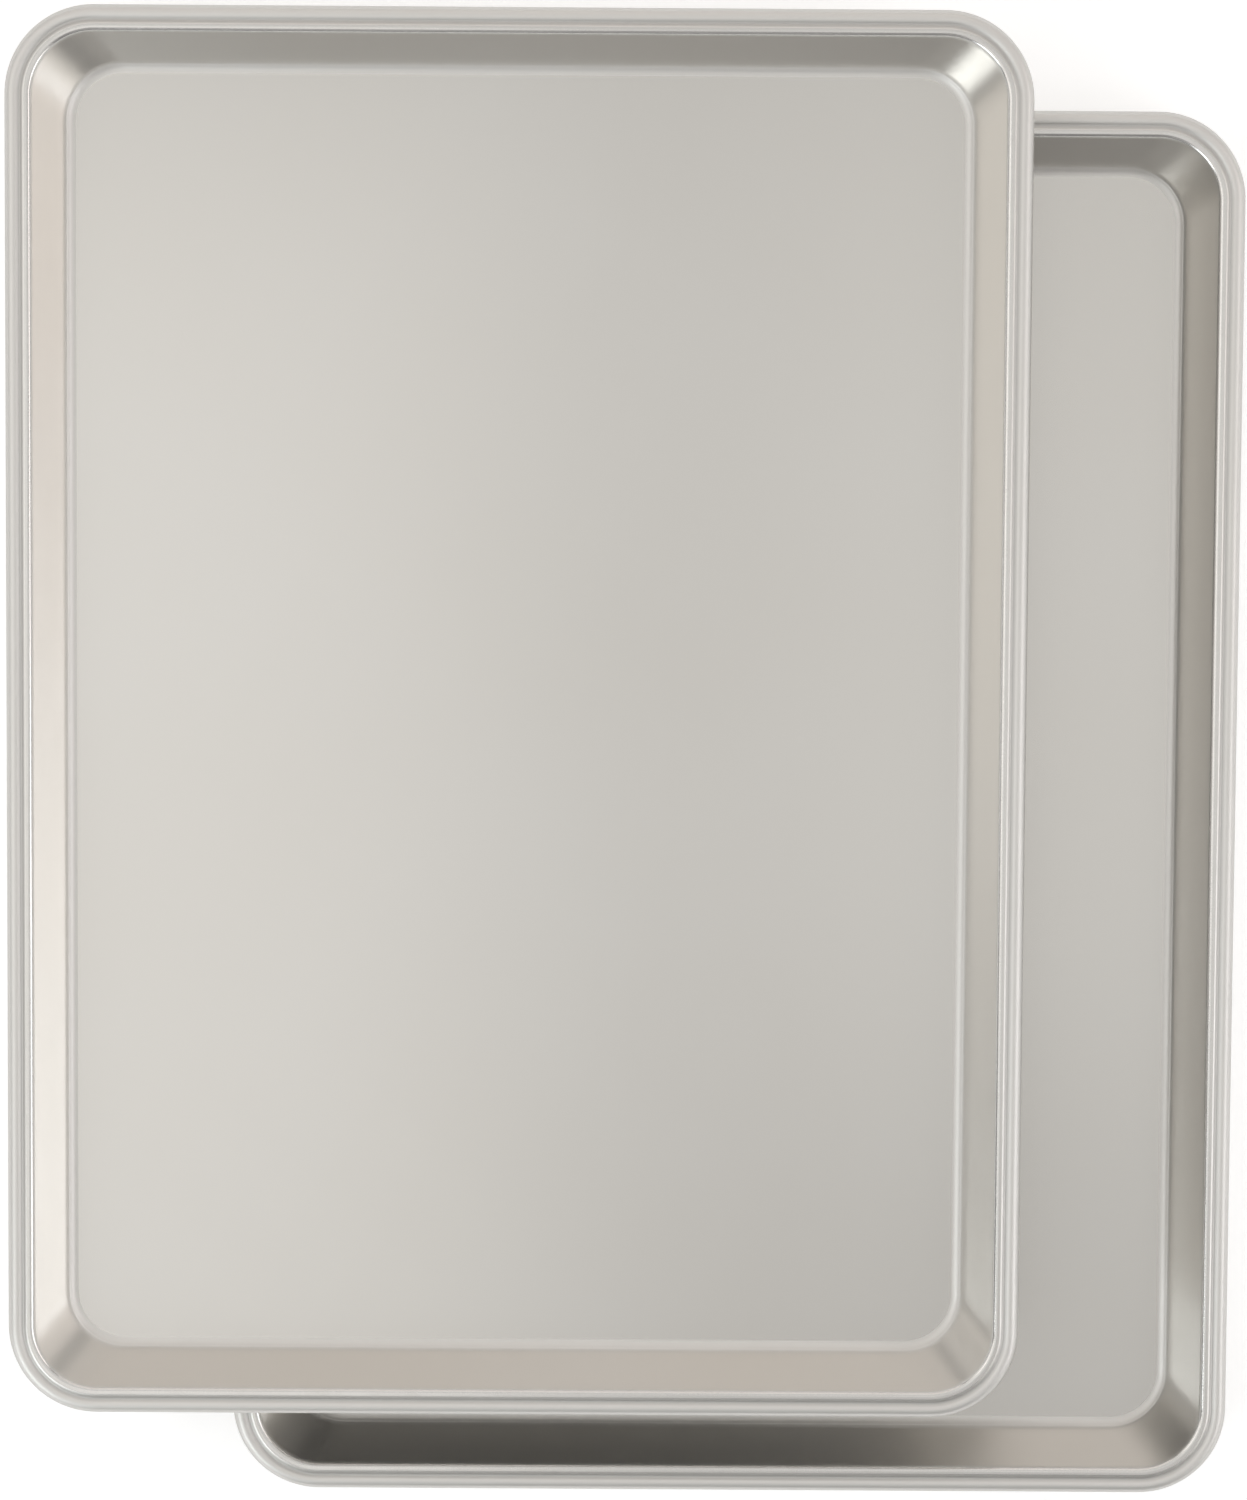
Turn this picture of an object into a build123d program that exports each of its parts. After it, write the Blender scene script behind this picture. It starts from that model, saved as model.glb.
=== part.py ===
import os
from math import acos, atan, cos, degrees, pi, sin, tan

from build123d import *

# A pair of jelly roll pans of the half-sheet size, in millimetres. The lower pan stands flat, and the
# upper one rests across its left and far rims, as a stack is set down askew. X runs along the short
# side, Y along the long side and Z up. The origin is the centre of the lower pan's base.

# Outside of the rim, seen from above
pan_length = 454.0
pan_width = 328.0
pan_height = 25.4
rim_corner_radius = 28.5

# The sheet and its tray
sheet_thickness = 1.0
wall_run = 9.5
floor_corner_radius = 19.0
floor_bend_radius = 4.0

# The rim, from the tray outwards: a bend into a narrow flat land, a pressed groove, and the bead. The
# land's width is up to the line where it would meet the wall without the bend.
rim_bend_radius = 2.0
land_width = 1.9
land_edge_radius = 1.5
groove_radius = 1.0
groove_depth = 0.6
curl_end_angle = -15.0

# The wire in the bead
wire_diameter = 3.4
wire_clearance = 0.05
wire_end_gap = 1.0

# How the upper pan lies on the lower one
stack_clearance = 0.3
upper_shift_x = -71.0
upper_shift_y = 30.5

# The bead, the groove and the land's edge are arcs that run into each other. Each arc's centre lies this
# far in from the rim's outside, and the lines between the centres tilt this much from the upright.
half_sheet = sheet_thickness / 2
bead_radius = wire_diameter / 2 + wire_clearance + sheet_thickness
bead_reach = bead_radius + groove_radius
land_reach = land_edge_radius + groove_radius
bead_tilt = acos(1 - groove_depth / bead_reach)
land_tilt = acos(1 - groove_depth / land_reach)
groove_place = bead_radius + bead_reach * sin(bead_tilt)
land_place = groove_place + land_reach * sin(land_tilt)
rim_width = land_place + land_width

# Heights of the same centres, and the sizes of the tray
bead_height = pan_height - bead_radius
groove_height = pan_height - groove_depth + groove_radius
land_edge_height = pan_height - land_edge_radius
opening_length = pan_length - 2 * rim_width
opening_width = pan_width - 2 * rim_width
opening_corner_radius = rim_corner_radius - rim_width
floor_length = opening_length - 2 * wall_run
floor_width = opening_width - 2 * wall_run

# The wall leans out by this angle, and its outer skin stands this far outside the inner one at the
# base and at the mouth
wall_lean = atan(wall_run / (pan_height - sheet_thickness))
base_growth = sheet_thickness * tan(pi / 4 - wall_lean / 2)
mouth_growth = sheet_thickness / cos(wall_lean)

# The base of each pan, the lower one first
pan_bases = {
    "lower_pan": Plane.XY,
    "upper_pan": Plane((upper_shift_x, upper_shift_y, pan_height + stack_clearance)),
}


def bead_line(base, end_gap):
    """The line along the middle of the bead, all round, with a gap at the middle of the near side."""
    half_width = pan_width / 2 - bead_radius
    half_length = pan_length / 2 - bead_radius
    with BuildLine(base.offset(bead_height)) as line:
        for side in (1, -1):
            FilletPolyline(
                (side * end_gap / 2, -half_length),
                (side * half_width, -half_length),
                (side * half_width, half_length),
                (0, half_length),
                radius=rim_corner_radius - bead_radius,
            )
    return line.wire()


def near_side_section(base, start_x):
    """The upright plane across the near side: its X runs in from the rim's outside and its Y runs up."""
    start = base.from_local_coords((start_x, -pan_length / 2, 0))
    return Plane(origin=start, x_dir=base.y_dir, z_dir=base.x_dir)


def rim_section(base):
    """The rim's section: the curl from its cut edge round the wire, then the groove and the flat land."""
    bead_turn = degrees(bead_tilt)
    land_turn = degrees(land_tilt)
    land_middle = pan_height - half_sheet
    with BuildSketch(near_side_section(base, 0)) as section:
        with BuildLine():
            CenterArc(
                (bead_radius, bead_height),
                bead_radius - half_sheet,
                90 - bead_turn,
                270 + bead_turn + curl_end_angle,
            )
            CenterArc(
                (groove_place, groove_height),
                groove_radius + half_sheet,
                270 - bead_turn,
                bead_turn + land_turn,
            )
            CenterArc((land_place, land_edge_height), land_edge_radius - half_sheet, 90, land_turn)
            Line((land_place, land_middle), (rim_width - half_sheet / 2, land_middle))
        trace(line_width=sheet_thickness)
    return section.sketch


def tray_form(base, bottom, bottom_growth, mouth_growth, bend_radius):
    """A solid of the tray's shape up to the rim's height, with conical corners and a rounded bottom edge."""
    with BuildPart() as form:
        with BuildSketch(base.offset(bottom)):
            RectangleRounded(
                floor_width + 2 * bottom_growth,
                floor_length + 2 * bottom_growth,
                floor_corner_radius + bottom_growth,
            )
        with BuildSketch(base.offset(pan_height)):
            RectangleRounded(
                opening_width + 2 * mouth_growth,
                opening_length + 2 * mouth_growth,
                opening_corner_radius + mouth_growth,
            )
        loft(ruled=True)
        fillet(form.faces().sort_by(Axis.Z)[0].edges(), bend_radius)
    return form.part


def build_sheet(base):
    """One drawn sheet: the tray, hollowed from its outer skin's form, and the rim curled round the wire."""
    outer_form = tray_form(base, 0, base_growth, mouth_growth, floor_bend_radius + sheet_thickness)
    inner_form = tray_form(base, sheet_thickness, 0, 0, floor_bend_radius)
    with BuildPart() as sheet:
        add(outer_form)
        add(inner_form, mode=Mode.SUBTRACT)
        sweep(rim_section(base), path=bead_line(base, 0))
        land = sheet.faces().filter_by(Axis.Z).sort_by(Axis.Z)[-1]
        fillet(land.inner_wires()[0].edges(), rim_bend_radius)
        land_underside = sheet.faces().filter_by(Axis.Z).sort_by(Axis.Z)[-2]
        fillet(land_underside.inner_wires()[0].edges(), rim_bend_radius - sheet_thickness)
    return sheet


def build_wire(base):
    """The steel wire in the bead, bent from one length, with its ends butted at the near side."""
    with BuildPart() as wire:
        with BuildSketch(near_side_section(base, wire_end_gap / 2)):
            with Locations((bead_radius, bead_height)):
                Circle(wire_diameter / 2)
        sweep(path=bead_line(base, wire_end_gap))
    return wire


os.makedirs("parts", exist_ok=True)
for pan_name, base in pan_bases.items():
    sheet = build_sheet(base)
    sheet.part.label = f"{pan_name}_sheet"
    export_step(sheet.part, f"parts/{sheet.part.label}.step")
    wire = build_wire(base)
    wire.part.label = f"{pan_name}_rim_wire"
    export_step(wire.part, f"parts/{wire.part.label}.step")
    print(sheet.part.label, round(sheet.part.volume), wire.part.label, round(wire.part.volume))
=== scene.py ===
from math import acos, atan, cos, degrees, hypot, pi, radians, sin, sqrt, tan

import bpy
from mathutils import Euler, Matrix, Vector


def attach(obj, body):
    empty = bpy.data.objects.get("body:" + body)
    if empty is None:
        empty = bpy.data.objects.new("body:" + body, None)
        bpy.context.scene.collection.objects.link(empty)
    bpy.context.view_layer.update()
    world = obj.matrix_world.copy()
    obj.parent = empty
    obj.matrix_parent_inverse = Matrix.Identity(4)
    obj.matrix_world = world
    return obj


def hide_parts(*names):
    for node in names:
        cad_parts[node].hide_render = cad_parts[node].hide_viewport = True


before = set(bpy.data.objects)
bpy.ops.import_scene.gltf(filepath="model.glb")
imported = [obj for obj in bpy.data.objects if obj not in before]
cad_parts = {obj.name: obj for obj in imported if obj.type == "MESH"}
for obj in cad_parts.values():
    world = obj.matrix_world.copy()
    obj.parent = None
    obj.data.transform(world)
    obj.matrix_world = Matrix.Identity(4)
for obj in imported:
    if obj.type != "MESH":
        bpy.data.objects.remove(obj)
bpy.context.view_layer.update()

# A pair of jelly roll pans: the lower one flat on the floor, the upper one askew across its rims.
# Everything is in metres. Both pans share one drawn form, and each has its own place.
panPlaces = {
    "lower_pan": Vector((0.0, 0.0, 0.0)),
    "upper_pan": Vector((-0.071, 0.0305, 0.0257)),
}

sheetForm = {
    "width": 0.328,
    "length": 0.454,
    "height": 0.0254,
    "cornerRadius": 0.0285,    # of the rim's outside, seen from above
    "thickness": 0.001,
    "wallRun": 0.0095,         # how far the wall leans in from the mouth to the floor
    "floorCornerRadius": 0.019,
    "floorBend": 0.004,        # between the floor and the wall
    "mouthBend": 0.002,        # between the wall and the flat land
    "landWidth": 0.0019,
    "landEdge": 0.0015,        # the rounding between the flat land and the groove
    "grooveRadius": 0.001,
    "grooveDepth": 0.0006,
    "beadRadius": 0.00275,
    "curlEnd": -15,            # degrees, where the curl's cut edge stops
    "bendStep": 7,             # degrees of bend for each ring of the mesh
    "cornerSteps": 26,
    "sideSteps": 18,
}

# how far each kind of wear and the painted shade reach on a sheet
sheetWear = {
    "ridgeShare": 0.3,         # the top part of the mouth's bend is rubbed bright
    "bendShare": 0.75,         # below that the bend is satin, down to this share of it
    "bendSatin": 0.8,
    "rimFade": 0.001,          # the rim's satin sets in over this width
    "footShare": 0.7,          # the lower part of the floor's bend is satin
    "grooveHalf": 0.0012,      # painted shade reaches this far to both sides of the groove's middle
    "grooveReach": 1.3,        # and this many groove depths down from the top
    "flankWidth": 0.0015,      # painted dark reflection on the bead reaches this far in from its outside
}

# what each point of a sheet tells its material
sheetMarks = ("sectionPlace", "rub", "satin", "paintedShade", "floorShare")


# Small helpers for node trees
def addNode(tree, kind, inputs=None, **settings):
    node = tree.nodes.new(kind)
    for name, value in settings.items():
        setattr(node, name, value)
    for name, value in (inputs or {}).items():
        feed(tree, node.inputs[name], value)
    return node


def feed(tree, socket, value):
    if isinstance(value, bpy.types.NodeSocket):
        tree.links.new(value, socket)
    else:
        socket.default_value = value


def calc(tree, operation, *values):
    node = addNode(tree, "ShaderNodeMath", operation=operation)
    for place, value in enumerate(values):
        feed(tree, node.inputs[place], value)
    return node.outputs[0]


def newTree(name, kind, inputs, outputs):
    tree = bpy.data.node_groups.new(name, kind)
    for label, socketKind, value in inputs:
        socket = tree.interface.new_socket(name=label, in_out="INPUT", socket_type=socketKind)
        if value is not None:
            socket.default_value = value
    for label, socketKind in outputs:
        tree.interface.new_socket(name=label, in_out="OUTPUT", socket_type=socketKind)
    start = tree.nodes.new("NodeGroupInput")
    end = tree.nodes.new("NodeGroupOutput")
    return tree, start.outputs, end.inputs


def newMaterial(name):
    material = bpy.data.materials.new(name)
    material.use_nodes = True
    material.node_tree.nodes.clear()
    return material, material.node_tree


# The sheet's section, as rings from the middle of the floor out over the rim and back underneath
def skinInset(height, skin, run):
    # how far in from the rim's outside a skin of the wall is at this height, bends included
    slope = run / skin["rise"]
    turn = pi / 2 - atan(slope)
    mouthInset = skin["footInset"][run] - slope * (skin["top"] - skin["bottom"])
    above = height - skin["bottom"]
    below = skin["top"] - height
    if above < skin["footBend"] * (1 - cos(turn)):
        angle = acos(max(-1, min(1, 1 - above / skin["footBend"])))
        return skin["footInset"][run] + skin["footBend"] * (tan(turn / 2) - sin(angle))
    if below < skin["mouthBend"] * (1 - cos(turn)):
        angle = acos(max(-1, min(1, 1 - below / skin["mouthBend"])))
        return mouthInset - skin["mouthBend"] * (tan(turn / 2) - sin(angle))
    return skin["footInset"][run] - slope * above


def skinHeights(skin):
    # heights of the rings up a skin: close together in the bends and just beside them
    turn = pi / 2 - atan(skin["sideRun"] / skin["rise"])
    steps = round(turn / radians(sheetForm["bendStep"]))
    angles = [turn * step / steps for step in range(steps + 1)]
    foot = [skin["bottom"] + skin["footBend"] * (1 - cos(angle)) for angle in angles]
    mouth = [skin["top"] - skin["mouthBend"] * (1 - cos(angle)) for angle in reversed(angles)]
    start = foot[-1]
    end = mouth[0]
    shares = (0.02, 0.08, 0.25, 0.5, 0.75, 0.92, 0.98)
    wall = [start + (end - start) * share for share in shares]
    return foot + wall + mouth


def cornerFit(sideInset, diagonalInset):
    # corner radius of a ring with these insets at the sides and across the corner
    return sheetForm["cornerRadius"] + (diagonalInset - sqrt(2) * sideInset) / (sqrt(2) - 1)


def skinRings(skin):
    rings = []
    for height in skinHeights(skin):
        inset = skinInset(height, skin, skin["sideRun"])
        across = skinInset(height, skin, skin["cornerRun"])
        rings.append((inset, cornerFit(inset, across), height))
    return rings


def floorRings(edge):
    # from the floor's middle line out to its bend, closer together as they near it
    middle = sheetForm["width"] / 2
    shares = (0, 0.2, 0.4, 0.6, 0.8, 0.93, 0.985, 0.997)
    return [(middle + (edge[0] - middle) * share, edge[1] * share, edge[2]) for share in shares]


def arcRings(centre, radius, start, end):
    # rings round one arc of the rim's section, all concentric with the rim's own corner
    steps = max(3, round(abs(end - start) / sheetForm["bendStep"]))
    rings = []
    for step in range(steps + 1):
        angle = radians(start + (end - start) * step / steps)
        inset = centre[0] + radius * cos(angle)
        rings.append((inset, sheetForm["cornerRadius"] - inset, centre[1] + radius * sin(angle)))
    return rings


def sectionRings():
    # the whole section of a sheet, and the places on it that wear and the painted shade follow
    form = sheetForm
    wear = sheetWear
    beadReach = form["beadRadius"] + form["grooveRadius"]
    landReach = form["landEdge"] + form["grooveRadius"]
    beadTilt = acos(1 - form["grooveDepth"] / beadReach)
    landTilt = acos(1 - form["grooveDepth"] / landReach)
    groovePlace = form["beadRadius"] + beadReach * sin(beadTilt)
    landPlace = groovePlace + landReach * sin(landTilt)
    rimWidth = landPlace + form["landWidth"]
    rise = form["height"] - form["thickness"]
    lean = atan(form["wallRun"] / rise)
    footGrowth = form["thickness"] * tan(pi / 4 - lean / 2)
    mouthGrowth = form["thickness"] / cos(lean)

    # the diagonal inset of a ring, from its side inset and corner radius
    def across(inset, radius):
        return sqrt(2) * (inset + radius - form["cornerRadius"]) + form["cornerRadius"] - radius

    footInset = rimWidth + form["wallRun"]
    footAcross = across(footInset, form["floorCornerRadius"])
    cornerRun = footAcross - rimWidth
    inner = {
        "bottom": form["thickness"],
        "top": form["height"],
        "rise": rise,
        "sideRun": form["wallRun"],
        "cornerRun": cornerRun,
        "footInset": {form["wallRun"]: footInset, cornerRun: footAcross},
        "footBend": form["floorBend"],
        "mouthBend": form["mouthBend"],
    }
    outerFoot = footInset - footGrowth
    outerAcross = across(outerFoot, form["floorCornerRadius"] + footGrowth)
    outerMouth = rimWidth - mouthGrowth
    outer = {
        "bottom": 0.0,
        "top": form["height"] - form["thickness"],
        "rise": form["height"],
        "sideRun": outerFoot - outerMouth,
        "cornerRun": outerAcross - outerMouth,
        "footInset": {outerFoot - outerMouth: outerFoot, outerAcross - outerMouth: outerAcross},
        "footBend": form["floorBend"] + form["thickness"],
        "mouthBend": form["mouthBend"] - form["thickness"],
    }

    bead = (form["beadRadius"], form["height"] - form["beadRadius"])
    groove = (groovePlace, form["height"] - form["grooveDepth"] + form["grooveRadius"])
    landEdge = (landPlace, form["height"] - form["landEdge"])
    beadTurn = degrees(beadTilt)
    landTurn = degrees(landTilt)
    thickness = form["thickness"]
    curlEnd = 360 + form["curlEnd"]

    innerSkin = skinRings(inner)
    outerSkin = skinRings(outer)
    landStart = innerSkin[-1]
    topRim = arcRings(landEdge, form["landEdge"], 90, 90 + landTurn)
    topRim += arcRings(groove, form["grooveRadius"], 270 + landTurn, 270 - beadTurn)[1:]
    curl = arcRings(bead, form["beadRadius"], 90 - beadTurn, curlEnd)[1:]
    cutMiddle = arcRings(bead, form["beadRadius"] - thickness / 2, curlEnd, curlEnd)[:1]
    curlInside = arcRings(bead, form["beadRadius"] - thickness, curlEnd, 90 - beadTurn)
    underRim = arcRings(groove, form["grooveRadius"] + thickness, 270 - beadTurn, 270 + landTurn)[1:]
    underRim += arcRings(landEdge, form["landEdge"] - thickness, 90 + landTurn, 90)[1:]

    # rings close to both edges of the flat land keep its shading flat
    def landRings(first, last):
        return [tuple(a + (b - a) * share for a, b in zip(first, last)) for share in (0.15, 0.85)]

    rings = floorRings(innerSkin[0]) + innerSkin
    rings += landRings(landStart, topRim[0])
    rings += topRim + curl + cutMiddle + curlInside + underRim
    rings += landRings(underRim[-1], outerSkin[-1])
    rings += list(reversed(floorRings(outerSkin[0]) + outerSkin))
    marks = {
        "ridgeHeight": form["height"] - form["mouthBend"] * wear["ridgeShare"],
        "bendHeight": form["height"] - form["mouthBend"] * wear["bendShare"],
        "ridgeInset": (landPlace, rimWidth + form["mouthBend"]),
        "groovePlace": groovePlace,
        "grooveHeight": form["height"] - form["grooveDepth"] * wear["grooveReach"],
        "footInset": footInset,
    }
    return rings, marks


def ringMesh(name):
    # one point for each ring, holding its inset, corner radius and height
    wear = sheetWear
    rings, marks = sectionRings()
    mesh = bpy.data.meshes.new(name)
    mesh.from_pydata(rings, [(n, n + 1) for n in range(len(rings) - 1)], [])
    run = [0.0]
    for last, ring in zip(rings, rings[1:]):
        run.append(run[-1] + hypot(ring[0] - last[0], ring[2] - last[2]))
    # the ridge at the mouth is rubbed bright, while the rolled rim and both bends stay satin; the satin
    # mark also carries a slightly paler painted tone
    nearest, furthest = marks["ridgeInset"]
    rub = [float(nearest <= ring[0] <= furthest and ring[2] > marks["ridgeHeight"]) for ring in rings]
    satin = [min(1.0, max(0.0, (nearest - ring[0]) / wear["rimFade"])) for ring in rings]
    footTop = sheetForm["thickness"] + sheetForm["floorBend"] * wear["footShare"]
    for n, (inset, _, height) in enumerate(rings):
        if sheetForm["thickness"] < height < footTop and inset > furthest:
            satin[n] = 1.0
        if nearest < inset < furthest and marks["bendHeight"] < height < marks["ridgeHeight"]:
            satin[n] = wear["bendSatin"]
    floorShare = [float(ring[0] > marks["footInset"]) for ring in rings]
    # painted shade: darker in the shaded groove, and a painted dark reflection along the bead's outer
    # side
    paintedShade = []
    for inset, _, height in rings:
        inGroove = max(0.0, 1 - abs(inset - marks["groovePlace"]) / wear["grooveHalf"])
        onFlank = max(0.0, 1 - inset / wear["flankWidth"])
        paintedShade.append(inGroove if height > marks["grooveHeight"] else onFlank)
    for label, values in zip(sheetMarks, (run, rub, satin, paintedShade, floorShare)):
        mesh.attributes.new(label, "FLOAT", "POINT").data.foreach_set("value", values)
    return mesh


def buildSheetTree():
    tree, given, result = newTree(
        "drawnSheet",
        "GeometryNodeTree",
        [
            ("Rings", "NodeSocketGeometry", None),
            ("Rim Width", "NodeSocketFloat", 0.3),
            ("Rim Length", "NodeSocketFloat", 0.4),
            ("Corner Steps", "NodeSocketInt", 24),
            ("Side Steps", "NodeSocketInt", 16),
            ("Place", "NodeSocketVector", (0, 0, 0)),
            ("Finish", "NodeSocketMaterial", None),
        ],
        [("Sheet", "NodeSocketGeometry")],
    )
    ringCount = addNode(
        tree, "GeometryNodeAttributeDomainSize", {"Geometry": given["Rings"]}, component="MESH"
    ).outputs["Point Count"]
    quarterSteps = calc(tree, "ADD", given["Corner Steps"], given["Side Steps"])
    roundCount = calc(tree, "MULTIPLY_ADD", quarterSteps, 4, 1)
    grid = addNode(
        tree,
        "GeometryNodeMeshGrid",
        {"Size X": 1.0, "Size Y": 1.0, "Vertices X": ringCount, "Vertices Y": roundCount},
    ).outputs["Mesh"]
    index = calc(tree, "ADD", addNode(tree, "GeometryNodeInputIndex").outputs[0], 0.5)
    ring = calc(tree, "FLOOR", calc(tree, "DIVIDE", index, roundCount))
    along = calc(tree, "SUBTRACT", index, calc(tree, "MULTIPLY_ADD", ring, roundCount, 0.5))

    # each quarter of the way round is one corner, then the side after it
    quarter = calc(tree, "FLOOR", calc(tree, "DIVIDE", calc(tree, "ADD", along, 0.5), quarterSteps))
    within = calc(tree, "SUBTRACT", along, calc(tree, "MULTIPLY", quarter, quarterSteps))
    cornerShare = calc(tree, "MINIMUM", calc(tree, "DIVIDE", within, given["Corner Steps"]), 1)
    pastCorner = calc(tree, "MAXIMUM", calc(tree, "SUBTRACT", within, given["Corner Steps"]), 0)
    sideShare = calc(tree, "DIVIDE", pastCorner, given["Side Steps"])
    easedShare = calc(
        tree, "MULTIPLY_ADD", calc(tree, "COSINE", calc(tree, "MULTIPLY", sideShare, pi)), -0.5, 0.5
    )
    angle = calc(tree, "MULTIPLY", calc(tree, "ADD", quarter, cornerShare), pi / 2)

    position = addNode(tree, "GeometryNodeInputPosition").outputs[0]
    sample = addNode(
        tree,
        "GeometryNodeSampleIndex",
        {"Geometry": given["Rings"], "Index": ring},
        data_type="FLOAT_VECTOR",
        domain="POINT",
    )
    tree.links.new(position, sample.inputs["Value"])
    ringSize = addNode(tree, "ShaderNodeSeparateXYZ", {"Vector": sample.outputs[0]}).outputs
    coordinates = []
    for size, turning in ((given["Rim Width"], "COSINE"), (given["Rim Length"], "SINE")):
        reach = calc(tree, "SUBTRACT", calc(tree, "MULTIPLY", size, 0.5), ringSize[0])
        reach = calc(tree, "SUBTRACT", reach, ringSize[1])
        corners = []
        for shift in (0.5, 1.5):
            corner = calc(tree, "MULTIPLY", calc(tree, "ADD", quarter, shift), pi / 2)
            side = calc(tree, "MULTIPLY", calc(tree, turning, corner), sqrt(2))
            corners.append(calc(tree, "MULTIPLY", side, reach))
        gap = calc(tree, "SUBTRACT", corners[1], corners[0])
        centre = calc(tree, "MULTIPLY_ADD", gap, easedShare, corners[0])
        coordinates.append(calc(tree, "MULTIPLY_ADD", ringSize[1], calc(tree, turning, angle), centre))
    point = addNode(
        tree, "ShaderNodeCombineXYZ", {"X": coordinates[0], "Y": coordinates[1], "Z": ringSize[2]}
    ).outputs[0]
    placed = addNode(
        tree, "GeometryNodeSetPosition", {"Geometry": grid, "Position": point, "Offset": given["Place"]}
    ).outputs[0]
    for name in sheetMarks:
        carried = addNode(tree, "GeometryNodeInputNamedAttribute", {"Name": name}, data_type="FLOAT")
        picked = addNode(
            tree,
            "GeometryNodeSampleIndex",
            {"Geometry": given["Rings"], "Index": ring},
            data_type="FLOAT",
            domain="POINT",
        )
        tree.links.new(carried.outputs["Attribute"], picked.inputs["Value"])
        placed = addNode(
            tree,
            "GeometryNodeStoreNamedAttribute",
            {"Geometry": placed, "Name": name, "Value": picked.outputs[0]},
            data_type="FLOAT",
            domain="POINT",
        ).outputs[0]
    # the last column lies on the first one, and the floor's two halves meet along its middle
    closed = addNode(
        tree, "GeometryNodeMergeByDistance", {"Geometry": placed, "Distance": 0.00001}
    ).outputs[0]
    smooth = addNode(tree, "GeometryNodeSetShadeSmooth", {"Geometry": closed, "Shade Smooth": True})
    whole = addNode(tree, "GeometryNodeRealizeInstances", {"Geometry": smooth.outputs[0]})
    painted = addNode(
        tree,
        "GeometryNodeSetMaterial",
        {"Geometry": whole.outputs[0], "Material": given["Finish"]},
    )
    tree.links.new(painted.outputs[0], result["Sheet"])
    return tree


def buildWireTree():
    tree, given, result = newTree(
        "rimWire",
        "GeometryNodeTree",
        [
            ("Path", "NodeSocketGeometry", None),
            ("Bend Radius", "NodeSocketFloat", 0.02),
            ("Diameter", "NodeSocketFloat", 0.003),
            ("Corner Steps", "NodeSocketInt", 16),
            ("Round Steps", "NodeSocketInt", 16),
            ("Place", "NodeSocketVector", (0, 0, 0)),
            ("Finish", "NodeSocketMaterial", None),
        ],
        [("Wire", "NodeSocketGeometry")],
    )
    path = addNode(tree, "GeometryNodeMeshToCurve", {"Mesh": given["Path"]}).outputs[0]
    bent = addNode(
        tree,
        "GeometryNodeFilletCurve",
        {"Curve": path, "Count": given["Corner Steps"], "Radius": given["Bend Radius"]},
        mode="POLY",
    ).outputs[0]
    circle = addNode(
        tree,
        "GeometryNodeCurvePrimitiveCircle",
        {"Resolution": given["Round Steps"], "Radius": calc(tree, "MULTIPLY", given["Diameter"], 0.5)},
        mode="RADIUS",
    ).outputs["Curve"]
    tube = addNode(
        tree, "GeometryNodeCurveToMesh", {"Curve": bent, "Profile Curve": circle, "Fill Caps": True}
    ).outputs[0]
    placed = addNode(tree, "GeometryNodeSetPosition", {"Geometry": tube, "Offset": given["Place"]})
    smooth = addNode(
        tree, "GeometryNodeSetShadeSmooth", {"Geometry": placed.outputs[0], "Shade Smooth": True}
    )
    whole = addNode(tree, "GeometryNodeRealizeInstances", {"Geometry": smooth.outputs[0]})
    painted = addNode(
        tree,
        "GeometryNodeSetMaterial",
        {"Geometry": whole.outputs[0], "Material": given["Finish"]},
    )
    tree.links.new(painted.outputs[0], result["Wire"])
    return tree


def makePiece(name, startMesh, tree, settings):
    # runs a tree on its start mesh and keeps the result as a plain mesh
    piece = bpy.data.objects.new(name, startMesh)
    bpy.context.scene.collection.objects.link(piece)
    modifier = piece.modifiers.new("form", "NODES")
    modifier.node_group = tree
    for socket in tree.interface.items_tree:
        if socket.in_out == "INPUT" and socket.name in settings:
            modifier[socket.identifier] = settings[socket.name]
    graph = bpy.context.evaluated_depsgraph_get()
    made = bpy.data.meshes.new_from_object(
        piece.evaluated_get(graph), preserve_all_data_layers=True, depsgraph=graph
    )
    piece.modifiers.clear()
    piece.data = made
    made.name = name
    return piece


# Effects that both finishes share
def buildGrainGroup():
    # fine lines from rolling or drawing, and the slow clouds of tone between them
    tree, given, result = newTree(
        "rolledGrain",
        "ShaderNodeTree",
        [
            ("Vector", "NodeSocketVector", (0, 0, 0)),
            ("Across", "NodeSocketFloat", 0.0),
            ("Fineness", "NodeSocketFloat", 900.0),
            ("Length", "NodeSocketFloat", 8.0),
            ("Cloud Scale", "NodeSocketFloat", 9.0),
        ],
        [("Lines", "NodeSocketFloat"), ("Clouds", "NodeSocketFloat")],
    )
    slow = addNode(
        tree,
        "ShaderNodeVectorMath",
        {0: given["Vector"], "Scale": given["Length"]},
        operation="SCALE",
    ).outputs[0]
    lines = addNode(
        tree,
        "ShaderNodeTexNoise",
        {
            "Vector": slow,
            "W": calc(tree, "MULTIPLY", given["Across"], given["Fineness"]),
            "Scale": 1.0,
            "Detail": 3.0,
            "Roughness": 0.6,
        },
        noise_dimensions="4D",
    ).outputs[0]
    spread = addNode(
        tree, "ShaderNodeMapRange", {"Value": lines, "From Min": 0.3, "From Max": 0.7}
    ).outputs[0]
    clouds = addNode(
        tree,
        "ShaderNodeTexNoise",
        {"Vector": given["Vector"], "Scale": given["Cloud Scale"], "Detail": 2.0, "Roughness": 0.45},
    ).outputs[0]
    tree.links.new(spread, result["Lines"])
    tree.links.new(clouds, result["Clouds"])
    return tree


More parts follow.
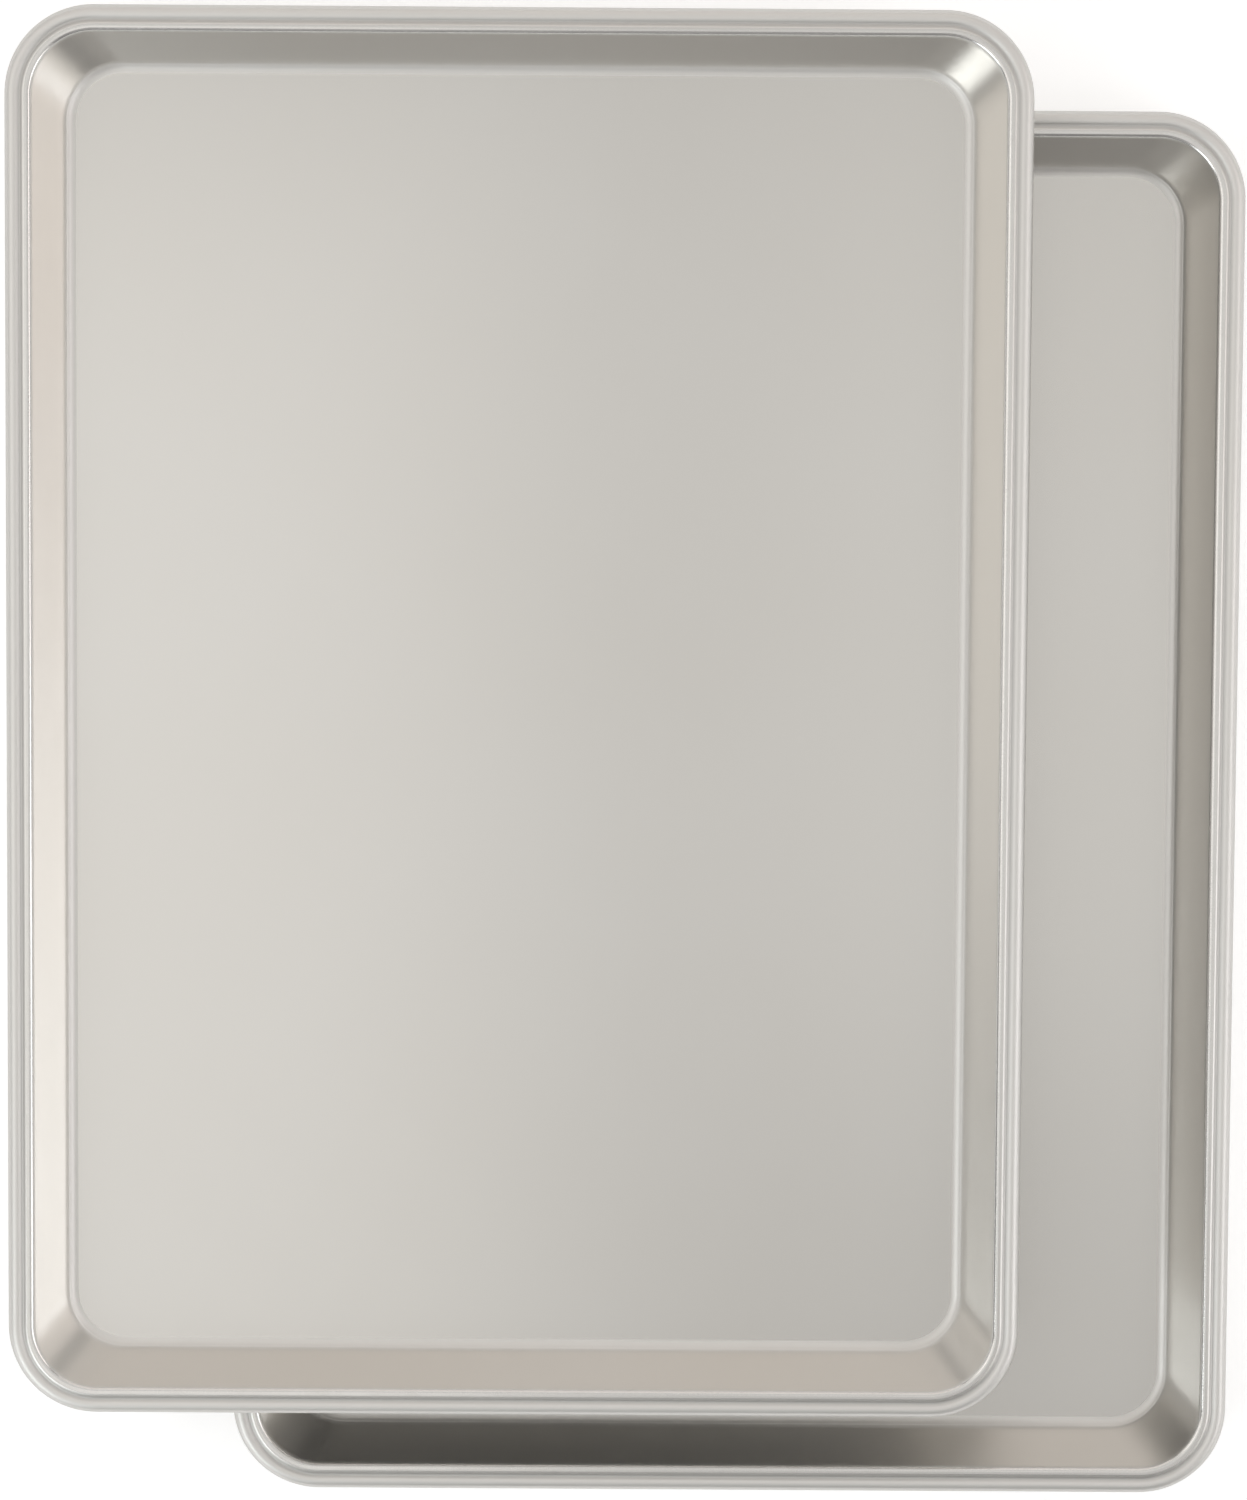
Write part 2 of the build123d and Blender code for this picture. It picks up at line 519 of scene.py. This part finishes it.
def buildRubGroup():
    # bright, smoother metal where edges are handled, broken up by a fine mottle
    tree, given, result = newTree(
        "rubbedEdge",
        "ShaderNodeTree",
        [
            ("Vector", "NodeSocketVector", (0, 0, 0)),
            ("Rub", "NodeSocketFloat", 0.0),
            ("Mottle Scale", "NodeSocketFloat", 120.0),
            ("Amount", "NodeSocketFloat", 0.8),
        ],
        [("Mask", "NodeSocketFloat")],
    )
    mottle = addNode(
        tree,
        "ShaderNodeTexNoise",
        {"Vector": given["Vector"], "Scale": given["Mottle Scale"], "Detail": 3.0},
    ).outputs[0]
    broken = addNode(
        tree,
        "ShaderNodeMapRange",
        {"Value": mottle, "From Min": 0.3, "From Max": 0.65, "To Min": 0.55, "To Max": 1.0},
    ).outputs[0]
    worn = calc(tree, "MULTIPLY", given["Rub"], broken)
    tree.links.new(calc(tree, "MULTIPLY", worn, given["Amount"]), result["Mask"])
    return tree


def buildWipeGroup():
    # broad, faint streaks as a cloth leaves them, crossing in two directions
    tree, given, result = newTree(
        "wipedSheen",
        "ShaderNodeTree",
        [
            ("Vector", "NodeSocketVector", (0, 0, 0)),
            ("Scale", "NodeSocketFloat", 60.0),
            ("Stretch", "NodeSocketFloat", 0.08),
        ],
        [("Streaks", "NodeSocketFloat")],
    )
    pull = addNode(
        tree, "ShaderNodeCombineXYZ", {"X": 1.0, "Y": given["Stretch"], "Z": 1.0}
    ).outputs[0]
    found = []
    for turn in (0.5, -0.9):
        turned = addNode(
            tree,
            "ShaderNodeVectorRotate",
            {"Vector": given["Vector"], "Angle": turn},
            rotation_type="Z_AXIS",
        ).outputs[0]
        pulled = addNode(
            tree, "ShaderNodeVectorMath", {0: turned, 1: pull}, operation="MULTIPLY"
        ).outputs[0]
        streaks = addNode(
            tree,
            "ShaderNodeTexNoise",
            {"Vector": pulled, "Scale": given["Scale"], "Detail": 3.0, "Roughness": 0.5},
        ).outputs[0]
        found.append(streaks)
    both = calc(tree, "MULTIPLY", calc(tree, "ADD", found[0], found[1]), 0.5)
    spread = addNode(
        tree, "ShaderNodeMapRange", {"Value": both, "From Min": 0.35, "From Max": 0.65}
    ).outputs[0]
    tree.links.new(spread, result["Streaks"])
    return tree


def placeGroup(tree, group, inputs):
    return addNode(tree, "ShaderNodeGroup", inputs, node_tree=group).outputs


grainGroup = buildGrainGroup()
rubGroup = buildRubGroup()
wipeGroup = buildWipeGroup()
print("effects ready:", ", ".join(group.name for group in (grainGroup, rubGroup, wipeGroup)))


# The two finishes, and what both are made with
def placeOnPan(tree, place):
    # a point's place on its own pan, so that the pattern moves with the pan
    point = addNode(tree, "ShaderNodeTexCoord").outputs["Object"]
    return addNode(
        tree, "ShaderNodeMapping", {"Vector": point, "Location": tuple(-place)}
    ).outputs[0]


def readMark(tree, name):
    return addNode(tree, "ShaderNodeAttribute", attribute_name=name).outputs["Fac"]


def mixColour(tree, share, first, second):
    node = addNode(tree, "ShaderNodeMix", {0: share}, data_type="RGBA")
    for socket, value in ((node.inputs[6], first), (node.inputs[7], second)):
        feed(tree, socket, value if isinstance(value, bpy.types.NodeSocket) else (*value, 1.0))
    return node.outputs[2]


def finishMetal(tree, colour, metallic, rough, height):
    # heights are in metres, so the bump stands at its full strength and distance
    bump = addNode(
        tree, "ShaderNodeBump", {"Strength": 1.0, "Distance": 1.0, "Height": height}
    ).outputs[0]
    metal = addNode(
        tree,
        "ShaderNodeBsdfPrincipled",
        {"Base Color": colour, "Metallic": metallic, "Roughness": rough, "Normal": bump},
    ).outputs[0]
    addNode(tree, "ShaderNodeOutputMaterial", {"Surface": metal})


aluminiumFinish = {
    "colour": (0.84, 0.825, 0.795),
    "warmColour": (0.81, 0.785, 0.74),    # the other tone of the slow clouds
    "paleColour": (0.88, 0.87, 0.85),     # of the fine lines and the rubbed ridge
    # a slightly paler tone for the satin rim and bends: painted light that lifts the rim's brightness
    "rimLitColour": (0.85, 0.835, 0.805),
    # painted shade for the groove and painted dark reflection for the bead's outer side
    "paintedShadeColour": (0.56, 0.55, 0.53),
    "lineShare": 0.07,           # how strongly each of these colours shows
    "rubShare": 0.6,
    "rimLightShare": 0.6,
    "paintedShadeShare": 0.85,
    "metallic": 0.90,            # the rest is the soft, even sheen of etched sheet
    "roughness": 0.225,
    "roughnessSpread": 0.02,     # added by the fine lines, and again by the clouds
    "wallRoughness": 0.05,       # added on the drawn walls
    "rimRoughness": 0.24,        # added on the rolled rim and in the two bends
    "rubPolish": 0.2,            # taken off where the ridge is rubbed
    "streakRoughness": 0.012,    # added by the wiping streaks
    "floorGrain": {"Fineness": 3600.0, "Length": 14.0},
    "wallGrain": {"Fineness": 4200.0, "Length": 22.0},
    "grainHeight": 0.00000012,
    "waveScale": 5.0,            # the floor isn't quite flat
    "waveHeight": 0.0002,
}


def buildAluminium(name, place):
    finish = aluminiumFinish
    material, tree = newMaterial(name)
    onPan = placeOnPan(tree, place)
    section = readMark(tree, "sectionPlace")
    rub = readMark(tree, "rub")
    satin = readMark(tree, "satin")
    paintedShade = readMark(tree, "paintedShade")
    floorShare = readMark(tree, "floorShare")

    # the floor keeps the sheet's rolling lines along its length, the walls and rim get drawing lines
    flat = addNode(tree, "ShaderNodeSeparateXYZ", {"Vector": onPan}).outputs
    floorGrain = placeGroup(
        tree, grainGroup, {"Vector": onPan, "Across": flat["X"], **finish["floorGrain"]}
    )
    wallGrain = placeGroup(
        tree, grainGroup, {"Vector": onPan, "Across": section, **finish["wallGrain"]}
    )
    lines = addNode(
        tree,
        "ShaderNodeMix",
        {0: floorShare, 2: wallGrain["Lines"], 3: floorGrain["Lines"]},
        data_type="FLOAT",
    ).outputs[0]
    clouds = floorGrain["Clouds"]
    worn = placeGroup(
        tree, rubGroup, {"Vector": onPan, "Rub": rub, "Amount": finish["rubShare"]}
    )["Mask"]
    streaks = placeGroup(tree, wipeGroup, {"Vector": onPan})["Streaks"]

    lineTone = calc(tree, "MULTIPLY", lines, finish["lineShare"])
    rimLightTone = calc(tree, "MULTIPLY", satin, finish["rimLightShare"])
    paintedShadeTone = calc(tree, "MULTIPLY", paintedShade, finish["paintedShadeShare"])
    toned = mixColour(tree, clouds, finish["warmColour"], finish["colour"])
    toned = mixColour(tree, lineTone, toned, finish["paleColour"])
    toned = mixColour(tree, worn, toned, finish["paleColour"])
    # the satin rim and bends are painted a shade paler, which is painted light; their added roughness is
    # the satin finish itself
    toned = mixColour(tree, rimLightTone, toned, finish["rimLitColour"])
    # painted shade darkens the groove, and a painted dark reflection edges the bead's outer side
    toned = mixColour(tree, paintedShadeTone, toned, finish["paintedShadeColour"])

    drawn = calc(tree, "SUBTRACT", 1.0, calc(tree, "MAXIMUM", floorShare, satin))
    rough = calc(tree, "MULTIPLY_ADD", lines, finish["roughnessSpread"], finish["roughness"])
    rough = calc(tree, "MULTIPLY_ADD", clouds, finish["roughnessSpread"], rough)
    rough = calc(tree, "MULTIPLY_ADD", drawn, finish["wallRoughness"], rough)
    rough = calc(tree, "MULTIPLY_ADD", worn, -finish["rubPolish"], rough)
    rough = calc(tree, "MULTIPLY_ADD", satin, finish["rimRoughness"], rough)
    rough = calc(tree, "MULTIPLY_ADD", streaks, finish["streakRoughness"], rough)

    wave = addNode(
        tree, "ShaderNodeTexNoise", {"Vector": onPan, "Scale": finish["waveScale"], "Detail": 0.0}
    ).outputs[0]
    floorWave = calc(tree, "MULTIPLY", wave, floorShare)
    height = calc(tree, "MULTIPLY", lines, finish["grainHeight"])
    height = calc(tree, "MULTIPLY_ADD", floorWave, finish["waveHeight"], height)
    finishMetal(tree, toned, finish["metallic"], rough, height)
    return material


steelFinish = {
    "colour": (0.55, 0.55, 0.56),
    "darkColour": (0.40, 0.40, 0.41),     # between the fine lines
    "brightColour": (0.66, 0.66, 0.67),   # where the zinc is rubbed
    "rubShare": 0.4,
    "roughness": 0.3,
    "roughnessSpread": 0.12,
    "grain": {"Fineness": 3000.0, "Length": 30.0},
    "grainHeight": 0.000003,
}


def buildWireSteel(name, place):
    # bright drawn wire with a thin zinc coat, seen only along the curl's open edge
    finish = steelFinish
    material, tree = newMaterial(name)
    onPan = placeOnPan(tree, place)
    flat = addNode(tree, "ShaderNodeSeparateXYZ", {"Vector": onPan}).outputs
    grain = placeGroup(tree, grainGroup, {"Vector": onPan, "Across": flat["Z"], **finish["grain"]})
    lines = grain["Lines"]
    worn = placeGroup(
        tree, rubGroup, {"Vector": onPan, "Rub": grain["Clouds"], "Amount": finish["rubShare"]}
    )["Mask"]
    toned = mixColour(tree, lines, finish["darkColour"], finish["colour"])
    toned = mixColour(tree, worn, toned, finish["brightColour"])
    rough = calc(tree, "MULTIPLY_ADD", lines, finish["roughnessSpread"], finish["roughness"])
    height = calc(tree, "MULTIPLY", lines, finish["grainHeight"])
    finishMetal(tree, toned, 1.0, rough, height)
    return material


# The pans
wireForm = {
    "diameter": 0.0034,
    "endGap": 0.001,           # the wire's ends are butted at the middle of the near side
    "cornerSteps": 20,
    "roundSteps": 18,
}

sheetTree = buildSheetTree()
wireTree = buildWireTree()


def wirePath(name):
    # the wire's path round the bead, before its corners are bent
    beadRadius = sheetForm["beadRadius"]
    halfWidth = sheetForm["width"] / 2 - beadRadius
    halfLength = sheetForm["length"] / 2 - beadRadius
    height = sheetForm["height"] - beadRadius
    gap = wireForm["endGap"] / 2
    corners = [
        (gap, -halfLength),
        (halfWidth, -halfLength),
        (halfWidth, halfLength),
        (-halfWidth, halfLength),
        (-halfWidth, -halfLength),
        (-gap, -halfLength),
    ]
    points = [(x, y, height) for x, y in corners]
    mesh = bpy.data.meshes.new(name)
    mesh.from_pydata(points, [(n, n + 1) for n in range(len(points) - 1)], [])
    return mesh


for body, place in panPlaces.items():
    sheet = makePiece(
        body + "_drawn_sheet",
        ringMesh(body + "_rings"),
        sheetTree,
        {
            "Rim Width": sheetForm["width"],
            "Rim Length": sheetForm["length"],
            "Corner Steps": sheetForm["cornerSteps"],
            "Side Steps": sheetForm["sideSteps"],
            "Place": place,
            "Finish": buildAluminium(body + "Aluminium", place),
        },
    )
    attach(sheet, body)
    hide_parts(body + "_sheet")
    wire = makePiece(
        body + "_bead_wire",
        wirePath(body + "_path"),
        wireTree,
        {
            "Bend Radius": sheetForm["cornerRadius"] - sheetForm["beadRadius"],
            "Diameter": wireForm["diameter"],
            "Corner Steps": wireForm["cornerSteps"],
            "Round Steps": wireForm["roundSteps"],
            "Place": place,
            "Finish": buildWireSteel(body + "WireSteel", place),
        },
    )
    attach(wire, body)
    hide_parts(body + "_rim_wire")
    print(body, "made:", len(sheet.data.polygons), "sheet faces,", len(wire.data.polygons), "wire faces")


# The studio: a pale floor, soft boxes and a plain world
floorSetup = {
    "radius": 16.0,
    "drop": 0.0002,            # how far the paper lies under the lower pan's base
    "sweep": 3.0,              # how high the paper turns up at its edge
    "sweepSteps": 12,
    "segments": 96,
    "colour": (0.90, 0.90, 0.90),
    "roughness": 0.9,
    "lift": 0.45,              # the light that the paper gives back by itself, near the pans
    "farLift": 0.85,           # the same beyond the lamps' reach
    "farFrom": 0.7,            # it rises between these distances from the pans
    "farTo": 2.6,
}


def buildPaper():
    setup = floorSetup
    material, tree = newMaterial("palePaper")
    paper = addNode(
        tree,
        "ShaderNodeBsdfPrincipled",
        {
            "Base Color": (*setup["colour"], 1.0),
            "Roughness": setup["roughness"],
            "Specular IOR Level": 0.0,
        },
    ).outputs[0]
    ray = addNode(tree, "ShaderNodeLightPath").outputs
    seen = calc(tree, "MAXIMUM", ray["Is Camera Ray"], ray["Is Glossy Ray"])
    seen = calc(tree, "MAXIMUM", seen, ray["Is Transmission Ray"])
    place = addNode(tree, "ShaderNodeTexCoord").outputs["Object"]
    away = addNode(tree, "ShaderNodeVectorMath", {0: place}, operation="LENGTH").outputs["Value"]
    lift = addNode(
        tree,
        "ShaderNodeMapRange",
        {
            "Value": away,
            "From Min": setup["farFrom"],
            "From Max": setup["farTo"],
            "To Min": setup["lift"],
            "To Max": setup["farLift"],
        },
        interpolation_type="SMOOTHSTEP",
    ).outputs[0]
    glow = addNode(
        tree, "ShaderNodeEmission", {"Strength": calc(tree, "MULTIPLY", seen, lift)}
    ).outputs[0]
    both = addNode(tree, "ShaderNodeAddShader", {0: paper, 1: glow}).outputs[0]
    # from below the floor is open, so that the pans' undersides can be looked at
    clear = addNode(tree, "ShaderNodeBsdfTransparent").outputs[0]
    under = addNode(tree, "ShaderNodeNewGeometry").outputs["Backfacing"]
    sided = addNode(tree, "ShaderNodeMixShader", {0: under, 1: both, 2: clear}).outputs[0]
    addNode(tree, "ShaderNodeOutputMaterial", {"Surface": sided})
    return material


def buildFloor():
    # a round sheet of paper that curves up all round its edge
    setup = floorSetup
    sweep = setup["sweep"]
    bendStart = setup["radius"] - sweep
    rings = [(bendStart, -setup["drop"])]
    for step in range(1, setup["sweepSteps"] + 1):
        turn = pi / 2 * step / setup["sweepSteps"]
        rings.append((bendStart + sweep * sin(turn), sweep * (1 - cos(turn))))
    count = setup["segments"]
    points = [
        (reach * cos(2 * pi * n / count), reach * sin(2 * pi * n / count), height)
        for reach, height in rings
        for n in range(count)
    ]
    faces = [tuple(range(count))]
    for ring in range(len(rings) - 1):
        for n in range(count):
            start = ring * count
            after = (n + 1) % count
            faces.append((start + n, start + count + n, start + count + after, start + after))
    mesh = bpy.data.meshes.new("studioFloor")
    mesh.from_pydata(points, [], faces)
    mesh.polygons.foreach_set("use_smooth", [True] * len(faces))
    mesh.materials.append(buildPaper())
    floor = bpy.data.objects.new("studio_floor", mesh)
    bpy.context.scene.collection.objects.link(floor)


lampWhite = (1, 0.985, 0.96)

# each box: its place, its width and height, how bright it is beside white paper, and its tone; the ones
# without an aim face the pans
lampSetups = [
    {"name": "overheadBox", "place": (-0.47, -0.14, 1.3), "aim": "down",
     "size": (0.75, 0.9), "level": 0.31, "tone": lampWhite},
    {"name": "overheadSpot", "place": (0.24, 0.02, 1.3), "aim": "down",
     "size": (0.4, 0.6), "level": 0.17, "tone": lampWhite},
    {"name": "overheadSide", "place": (0.46, -0.2, 1.3), "aim": "down",
     "size": (0.25, 0.9), "level": 0.15, "tone": lampWhite},
    {"name": "ceilingBox", "place": (0.1, 0.1, 2.0), "aim": "down",
     "size": (2.0, 2.0), "level": 0.37, "tone": lampWhite},
    {"name": "rightBox", "place": (1.12, 0.0, 1.0),
     "size": (1.4, 0.7), "level": 1.27, "tone": (1, 0.945, 0.93)},
    {"name": "rightSpot", "place": (1.02, -0.33, 0.98),
     "size": (0.5, 0.6), "level": 0.85, "tone": (0.8, 0.9, 1)},
    {"name": "leftBox", "place": (-1.0, 0.30, 1.0),
     "size": (1.15, 0.9), "level": 0.67, "tone": (1, 0.97, 0.94)},
    {"name": "leftHighBox", "place": (-1.05, 0.05, 1.55),
     "size": (1.2, 0.5), "level": 0.45, "tone": lampWhite},
    {"name": "backBox", "place": (0.0, 1.50, 1.1),
     "size": (2.2, 1.1), "level": 0.60, "tone": (1, 0.93, 0.89)},
    {"name": "backHighBox", "place": (0.0, 1.05, 1.6),
     "size": (1.6, 0.5), "level": 0.4, "tone": lampWhite},
    {"name": "backRightBox", "place": (1.4, 1.25, 1.1),
     "size": (1.0, 0.6), "level": 0.30, "tone": (1, 0.96, 0.94)},
    {"name": "backLeftBox", "place": (-1.6, 1.1, 0.7),
     "size": (1.0, 0.9), "level": 0.12, "tone": (1, 0.96, 0.94)},
    {"name": "cornerBox", "place": (-0.95, -0.93, 1.06),
     "size": (0.78, 0.74), "level": 2.8, "tone": (0.93, 0.975, 1)},
    {"name": "frontBox", "place": (1.07, -0.89, 1.05),
     "size": (0.55, 0.62), "level": 1.2, "tone": (1, 0.98, 0.96)},
    {"name": "nearBox", "place": (-0.10, -0.9, 1.0),
     "size": (0.5, 0.5), "level": 0.20, "tone": (1, 0.98, 0.96)},
]


def buildLamps():
    for setup in lampSetups:
        lamp = bpy.data.lights.new(setup["name"], "AREA")
        lamp.shape = "RECTANGLE"
        lamp.size, lamp.size_y = setup["size"]
        lamp.color = setup["tone"]
        # a level of 1 is as bright as white paper in this light
        lamp.energy = setup["level"] * pi * setup["size"][0] * setup["size"][1]
        box = bpy.data.objects.new(setup["name"], lamp)
        bpy.context.scene.collection.objects.link(box)
        box.location = setup["place"]
        if setup.get("aim") != "down":
            toPans = -box.location
            box.rotation_euler = toPans.to_track_quat("-Z", "Y").to_euler()
        box.visible_camera = False


worldSetup = {"level": 0.18, "tone": (1.0, 0.99, 0.98)}


def buildWorld():
    world = bpy.data.worlds.new("studioWorld")
    bpy.context.scene.world = world
    world.use_nodes = True
    tree = world.node_tree
    tree.nodes.clear()
    shade = addNode(
        tree,
        "ShaderNodeBackground",
        {"Color": (*worldSetup["tone"], 1.0), "Strength": worldSetup["level"]},
    ).outputs[0]
    addNode(tree, "ShaderNodeOutputWorld", {"Surface": shade})


cameraSetup = {
    "lens": 120.0,               # mm
    "sensor": 36.0,              # mm, along the frame's longer side
    "distance": 1.6058,          # above the middle of the upper pan's mouth
    "tilt": (4.77, 0.17, -0.37),    # degrees away from looking straight down
    "slide": (-0.0344, 0.0098),    # how far the pan's middle is from the frame's middle
}


def buildCamera():
    setup = cameraSetup
    camera = bpy.data.cameras.new("photoCamera")
    camera.lens = setup["lens"]
    camera.sensor_width = setup["sensor"]
    camera.sensor_fit = "AUTO"
    camera.clip_start = 0.01
    camera.clip_end = 50.0
    holder = bpy.data.objects.new("photoCamera", camera)
    bpy.context.scene.collection.objects.link(holder)
    mouth = panPlaces["upper_pan"] + Vector((0, 0, sheetForm["height"]))
    turn = Euler([radians(angle) for angle in setup["tilt"]], "XYZ").to_matrix().to_4x4()
    back = Matrix.Translation((-setup["slide"][0], -setup["slide"][1], setup["distance"]))
    holder.matrix_world = Matrix.Translation(mouth) @ turn.transposed() @ back
    bpy.context.scene.camera = holder


buildFloor()
buildLamps()
buildWorld()
buildCamera()
bpy.context.scene.view_settings.view_transform = "Standard"
print("studio ready:", len(lampSetups), "soft boxes")
